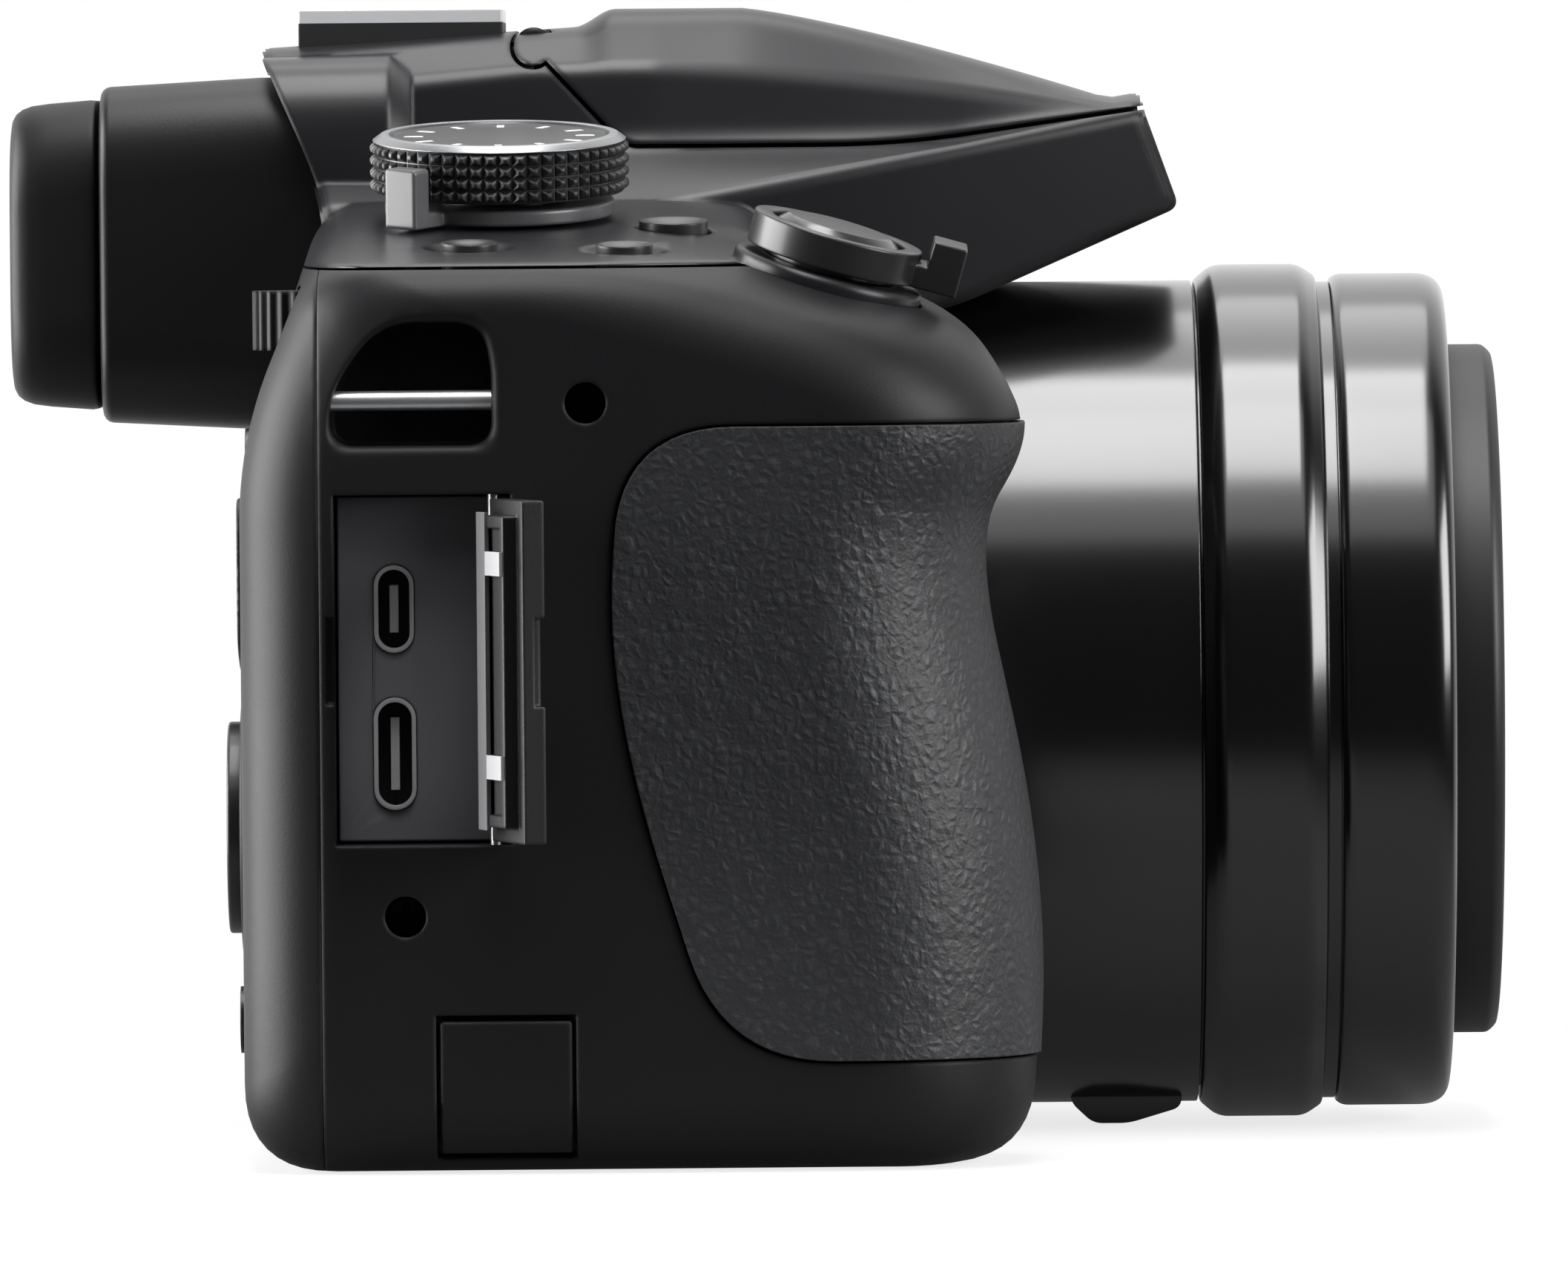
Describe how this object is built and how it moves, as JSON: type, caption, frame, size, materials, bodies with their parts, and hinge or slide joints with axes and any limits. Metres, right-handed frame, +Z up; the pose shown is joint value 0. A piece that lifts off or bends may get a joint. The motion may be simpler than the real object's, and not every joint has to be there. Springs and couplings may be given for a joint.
{
  "type": "bridge camera",
  "caption": "Bridge camera with a telescoping zoom lens, rubber grip, deck controls, hinged flash hump, electronic viewfinder and an open side door over two sockets.",
  "frame": {"origin": "centre of the mouth of the tripod socket, on the plane of the base", "axes": "+Z up, -Y along the lens axis towards the subject, -X towards the grip"},
  "size_m": [0.1411, 0.1233, 0.0935],
  "materials": {
    "body_plastic": "fine matte texture",
    "cover_plastic": "satin",
    "soft_rubber": "leather grain",
    "lens_gloss": "gloss",
    "barrel_paint": "satin grey",
    "control_plastic": "satin",
    "lever_metal": "semi gloss",
    "bright_metal": "polished",
    "steel": "turned",
    "socket_brass": "turned",
    "optics": "coated glass",
    "board": "circuit board",
    "panel_plastic": "matte"
  },
  "bodies": {
    "camera_body": {"front_cover": "body_plastic", "rear_cover": "body_plastic", "base_plate": "body_plastic", "viewfinder_housing": "body_plastic", "battery_box": "body_plastic", "top_cover": "cover_plastic", "grip_rubber": "soft_rubber", "thumb_rest": "soft_rubber", "eyecup": "soft_rubber", "lens_barrel": "lens_gloss", "rear_collar": "lens_gloss", "front_collar": "lens_gloss", "monitor": "lens_gloss", "hot_shoe": "bright_metal", "strap_bars": "bright_metal", "hdmi_socket": "bright_metal", "usb_socket": "bright_metal", "case_screws": "steel", "flash_hinge_pin": "steel", "terminal_hinge_pin": "steel", "battery_hinge_pin": "steel", "zoom_motor": "steel", "tripod_socket": "socket_brass", "rear_lens_group": "optics", "eyepiece_lens": "optics", "monitor_glass": "optics", "sensor_board": "board", "main_board": "board", "viewfinder_display": "board", "terminal_panel": "panel_plastic", "battery": "panel_plastic", "memory_card": "panel_plastic", "flash_capacitor": "panel_plastic"},
    "middle_barrel": {"middle_barrel": "lens_gloss", "zoom_lens_group": "optics"},
    "front_barrel": {"front_barrel": "barrel_paint", "front_lens": "optics"},
    "flash": {"flash_lid": "cover_plastic", "flash_head": "body_plastic", "flash_window": "optics"},
    "mode_dial": {"mode_dial": "control_plastic"},
    "power_lever": {"power_lever": "lever_metal"},
    "zoom_lever": {"zoom_lever": "control_plastic"},
    "shutter_button": {"shutter_button": "control_plastic"},
    "drive_button": {"drive_button": "control_plastic"},
    "function_button": {"function_button": "control_plastic"},
    "movie_button": {"movie_button": "control_plastic"},
    "rear_dial": {"rear_dial": "control_plastic"},
    "cursor_pad": {"cursor_pad": "control_plastic"},
    "set_button": {"set_button": "control_plastic"},
    "playback_button": {"playback_button": "control_plastic"},
    "display_button": {"display_button": "control_plastic"},
    "lock_button": {"lock_button": "control_plastic"},
    "flash_button": {"flash_button": "control_plastic"},
    "terminal_door": {"terminal_door": "body_plastic"},
    "battery_door": {"battery_door": "body_plastic"},
    "battery_latch": {"battery_latch": "control_plastic"},
    "coupler_flap": {"coupler_flap": "body_plastic"},
    "dioptre_dial": {"dioptre_dial": "control_plastic"}
  },
  "joints": [
    {"name": "zoom_middle", "type": "slide", "parent": "camera_body", "child": "middle_barrel", "axis": [0, -1, 0], "range_m": [0, 0.028]},
    {"name": "zoom_front", "type": "slide", "parent": "middle_barrel", "child": "front_barrel", "axis": [0, -1, 0], "range_m": [0, 0.028]},
    {"name": "mode_dial_turn", "type": "hinge", "parent": "camera_body", "child": "mode_dial", "pos_m": [-0.04, -0.0052, 0.07619], "axis": [-0.1132, 0, 0.9936], "continuous": true},
    {"name": "power_switch", "type": "hinge", "parent": "camera_body", "child": "power_lever", "pos_m": [-0.04, -0.0052, 0.07619], "axis": [-0.1132, 0, 0.9936], "range_deg": [0, 30]},
    {"name": "zoom_rock", "type": "hinge", "parent": "camera_body", "child": "zoom_lever", "pos_m": [-0.06, -0.0318, 0.0714], "axis": [-0.1089, -0.2741, 0.9555], "range_deg": [-20, 20], "stiffness_Nm_per_rad": 0.02},
    {"name": "shutter_press", "type": "slide", "parent": "camera_body", "child": "shutter_button", "axis": [0.1089, 0.2741, -0.9555], "range_m": [0, 0.001], "stiffness_N_per_m": 800},
    {"name": "drive_press", "type": "slide", "parent": "camera_body", "child": "drive_button", "axis": [0.1132, 0, -0.9936], "range_m": [0, 0.0005], "stiffness_N_per_m": 1500},
    {"name": "function_press", "type": "slide", "parent": "camera_body", "child": "function_button", "axis": [0.1132, 0, -0.9936], "range_m": [0, 0.0005], "stiffness_N_per_m": 1500},
    {"name": "movie_press", "type": "slide", "parent": "camera_body", "child": "movie_button", "axis": [0.1132, 0, -0.9936], "range_m": [0, 0.0005], "stiffness_N_per_m": 1500},
    {"name": "rear_dial_turn", "type": "hinge", "parent": "camera_body", "child": "rear_dial", "pos_m": [-0.055, 0.0075, 0.0681], "axis": [0, 0, 1], "continuous": true},
    {"name": "cursor_press", "type": "slide", "parent": "camera_body", "child": "cursor_pad", "axis": [0, -1, 0], "range_m": [0, 0.0003], "stiffness_N_per_m": 1500},
    {"name": "set_press", "type": "slide", "parent": "camera_body", "child": "set_button", "axis": [0, -1, 0], "range_m": [0, 0.0005], "stiffness_N_per_m": 1500},
    {"name": "playback_press", "type": "slide", "parent": "camera_body", "child": "playback_button", "axis": [0, -1, 0], "range_m": [0, 0.0005], "stiffness_N_per_m": 1500},
    {"name": "display_press", "type": "slide", "parent": "camera_body", "child": "display_button", "axis": [0, -1, 0], "range_m": [0, 0.0005], "stiffness_N_per_m": 1500},
    {"name": "lock_press", "type": "slide", "parent": "camera_body", "child": "lock_button", "axis": [0, -1, 0], "range_m": [0, 0.0005], "stiffness_N_per_m": 1500},
    {"name": "flash_tilt", "type": "hinge", "parent": "camera_body", "child": "flash", "pos_m": [0, -0.0077, 0.0903], "axis": [-1, 0, 0], "range_deg": [0, 28]},
    {"name": "flash_release", "type": "slide", "parent": "camera_body", "child": "flash_button", "axis": [-1, 0, 0], "range_m": [0, 0.0006], "stiffness_N_per_m": 1500},
    {"name": "terminal_door_swing", "type": "hinge", "parent": "camera_body", "child": "terminal_door", "pos_m": [-0.077, -0.005, 0.0403], "axis": [0, 0, 1], "range_deg": [-105, 0]},
    {"name": "battery_door_swing", "type": "hinge", "parent": "camera_body", "child": "battery_door", "pos_m": [-0.0453, -0.014, 0.00095], "axis": [0, -1, 0], "range_deg": [0, 90]},
    {"name": "battery_latch_slide", "type": "slide", "parent": "battery_door", "child": "battery_latch", "axis": [1, 0, 0], "range_m": [0, 0.0025]},
    {"name": "coupler_flap_lift", "type": "hinge", "parent": "camera_body", "child": "coupler_flap", "pos_m": [-0.078, -0.00565, 0.0122], "axis": [0, 1, 0], "range_deg": [0, 60], "stiffness_Nm_per_rad": 0.002},
    {"name": "dioptre_turn", "type": "hinge", "parent": "camera_body", "child": "dioptre_dial", "pos_m": [0.023, 0.02025, 0.0779], "axis": [1, 0, 0], "range_deg": [-150, 150]}
  ],
  "couplings": [
    {"joint": "zoom_front", "follows": "zoom_middle", "ratio": 1}
  ]
}
